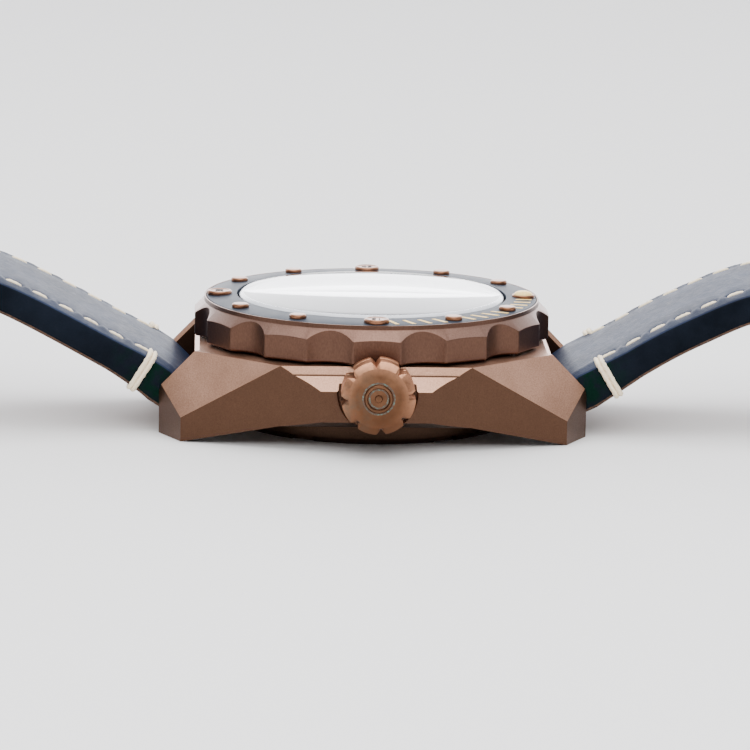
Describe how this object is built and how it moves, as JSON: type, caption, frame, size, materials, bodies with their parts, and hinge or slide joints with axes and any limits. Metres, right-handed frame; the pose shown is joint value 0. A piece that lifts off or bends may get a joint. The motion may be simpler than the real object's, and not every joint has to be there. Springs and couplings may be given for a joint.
{
  "type": "dive watch",
  "caption": "Dive watch with faceted bronze case, turning studded bezel, notched crown, domed crystal and leather pin-buckle strap.",
  "frame": {"origin": "on the dial's axis, in the plane of the case back's outer face, which the lug tips also reach", "axes": "+X to the crown (3 o'clock), +Y to 12 o'clock along the strap, +Z out through the crystal"},
  "size_m": [0.0478, 0.2454, 0.022],
  "materials": {
    "bronze": "brushed bronze, light patina",
    "ceramic": "polished blue-grey ceramic",
    "lume": "cream luminous compound",
    "glass": "polished domed sapphire",
    "rubber": "matt seal",
    "dial": "dark blue lacquer",
    "steel": "polished steel",
    "nickel": "grained rhodium plate",
    "brass": "gilt brass",
    "leather": "navy calf with cream stitching",
    "thread": "waxed cream stitching thread"
  },
  "bodies": {
    "case": {"case_body": "bronze", "case_back": "bronze", "case_back_gasket": "rubber", "crystal": "glass", "crystal_gasket": "rubber", "chapter_ring": "dial", "dial": "dial", "movement_ring": "steel", "crown_tube": "steel", "spring_bar_12": "steel", "spring_bar_6": "steel", "bezel_click_spring": "steel", "bezel_snap_wire": "steel", "mainplate": "nickel", "train_bridge": "nickel", "barrel_bridge": "nickel", "balance_cock": "nickel", "rotor_bearing": "steel", "barrel_arbor": "steel"},
    "bezel": {"bezel_ring": "bronze", "bezel_insert": "ceramic", "bezel_pip": "lume", "bezel_stud_01": "bronze", "bezel_stud_02": "bronze", "bezel_stud_03": "bronze", "bezel_stud_04": "bronze", "bezel_stud_05": "bronze", "bezel_stud_06": "bronze", "bezel_stud_07": "bronze", "bezel_stud_08": "bronze", "bezel_stud_09": "bronze", "bezel_stud_10": "bronze", "bezel_stud_11": "bronze"},
    "setting": {"setting_lever": "steel"},
    "crown": {"crown": "bronze", "crown_gasket": "rubber", "winding_stem": "steel"},
    "minutes": {"cannon_pinion": "steel", "minute_hand": "bronze"},
    "minute_wheel": {"minute_wheel": "brass"},
    "hours": {"hour_wheel": "brass", "hour_hand": "bronze"},
    "seconds": {"fourth_wheel": "brass", "second_hand": "bronze"},
    "third": {"third_wheel": "brass"},
    "centre": {"centre_wheel": "brass"},
    "barrel": {"mainspring_barrel": "brass", "mainspring": "steel"},
    "escape": {"escape_wheel": "steel"},
    "pallet": {"pallet_fork": "steel"},
    "balance": {"balance_wheel": "brass", "hairspring": "steel"},
    "rotor": {"rotor": "nickel"},
    "strap_12": {"strap_12": "leather", "fixed_keeper": "leather", "buckle_bar": "steel"},
    "keeper": {"sliding_keeper": "leather"},
    "buckle": {"buckle_frame": "bronze"},
    "tongue": {"buckle_tongue": "bronze"},
    "strap_6": {"strap_6": "leather"}
  },
  "joints": [
    {"name": "bezel_turn", "type": "hinge", "parent": "case", "child": "bezel", "pos_m": [0, 0, 0.012], "axis": [0, 0, 1], "continuous": true},
    {"name": "crown_pull", "type": "slide", "parent": "case", "child": "setting", "axis": [1, 0, 0], "range_m": [0, 0.0016]},
    {"name": "crown_turn", "type": "hinge", "parent": "setting", "child": "crown", "pos_m": [0.0263, 0.00015, 0.00733], "axis": [1, 0, 0], "continuous": true},
    {"name": "minute_hand_turn", "type": "hinge", "parent": "case", "child": "minutes", "pos_m": [0, 0, 0.0106], "axis": [0, 0, -1], "continuous": true},
    {"name": "minute_wheel_turn", "type": "hinge", "parent": "case", "child": "minute_wheel", "pos_m": [0.0026, 0.00219, 0.0086], "axis": [0, 0, -1], "continuous": true},
    {"name": "hour_hand_turn", "type": "hinge", "parent": "case", "child": "hours", "pos_m": [0, 0, 0.01005], "axis": [0, 0, -1], "continuous": true},
    {"name": "second_hand_turn", "type": "hinge", "parent": "case", "child": "seconds", "pos_m": [0, 0, 0.0111], "axis": [0, 0, -1], "continuous": true},
    {"name": "third_wheel_turn", "type": "hinge", "parent": "case", "child": "third", "pos_m": [0.00306, -0.00257, 0.006], "axis": [0, 0, -1], "continuous": true},
    {"name": "centre_wheel_turn", "type": "hinge", "parent": "case", "child": "centre", "pos_m": [0, 0, 0.0064], "axis": [0, 0, -1], "continuous": true},
    {"name": "barrel_turn", "type": "hinge", "parent": "case", "child": "barrel", "pos_m": [-0.00313, 0.00447, 0.007], "axis": [0, 0, -1], "continuous": true},
    {"name": "escape_wheel_turn", "type": "hinge", "parent": "case", "child": "escape", "pos_m": [-0.00257, -0.00306, 0.006], "axis": [0, 0, -1], "continuous": true},
    {"name": "pallet_rock", "type": "hinge", "parent": "case", "child": "pallet", "pos_m": [-0.0053, -0.00406, 0.0066], "axis": [0, 0, 1], "range_deg": [-4, 4]},
    {"name": "balance_swing", "type": "hinge", "parent": "case", "child": "balance", "pos_m": [-0.00619, -0.0065, 0.0056], "axis": [0, 0, 1], "range_deg": [-270, 270]},
    {"name": "rotor_turn", "type": "hinge", "parent": "case", "child": "rotor", "pos_m": [0, 0, 0.0038], "axis": [0, 0, 1], "continuous": true},
    {"name": "strap_12_fold", "type": "hinge", "parent": "case", "child": "strap_12", "pos_m": [0, 0.0237, 0.0042], "axis": [1, 0, 0], "range_deg": [-75, 25]},
    {"name": "keeper_slide", "type": "slide", "parent": "strap_12", "child": "keeper", "axis": [0, 0.9943, -0.1064], "range_m": [-0.0018, 0.0016]},
    {"name": "buckle_fold", "type": "hinge", "parent": "strap_12", "child": "buckle", "pos_m": [0, 0.099, 0.00185], "axis": [1, 0, 0], "range_deg": [-45, 40]},
    {"name": "tongue_lift", "type": "hinge", "parent": "buckle", "child": "tongue", "pos_m": [0, 0.099, 0.00185], "axis": [1, 0, 0], "range_deg": [0, 80]},
    {"name": "strap_6_fold", "type": "hinge", "parent": "case", "child": "strap_6", "pos_m": [0, -0.0237, 0.0042], "axis": [-1, 0, 0], "range_deg": [-75, 25]}
  ],
  "couplings": [
    {"joint": "minute_wheel_turn", "follows": "minute_hand_turn", "ratio": -0.33333},
    {"joint": "hour_hand_turn", "follows": "minute_hand_turn", "ratio": 0.083333},
    {"joint": "third_wheel_turn", "follows": "second_hand_turn", "ratio": -0.13333},
    {"joint": "centre_wheel_turn", "follows": "second_hand_turn", "ratio": 0.016667},
    {"joint": "barrel_turn", "follows": "second_hand_turn", "ratio": -0.0027778},
    {"joint": "escape_wheel_turn", "follows": "second_hand_turn", "ratio": -7}
  ]
}
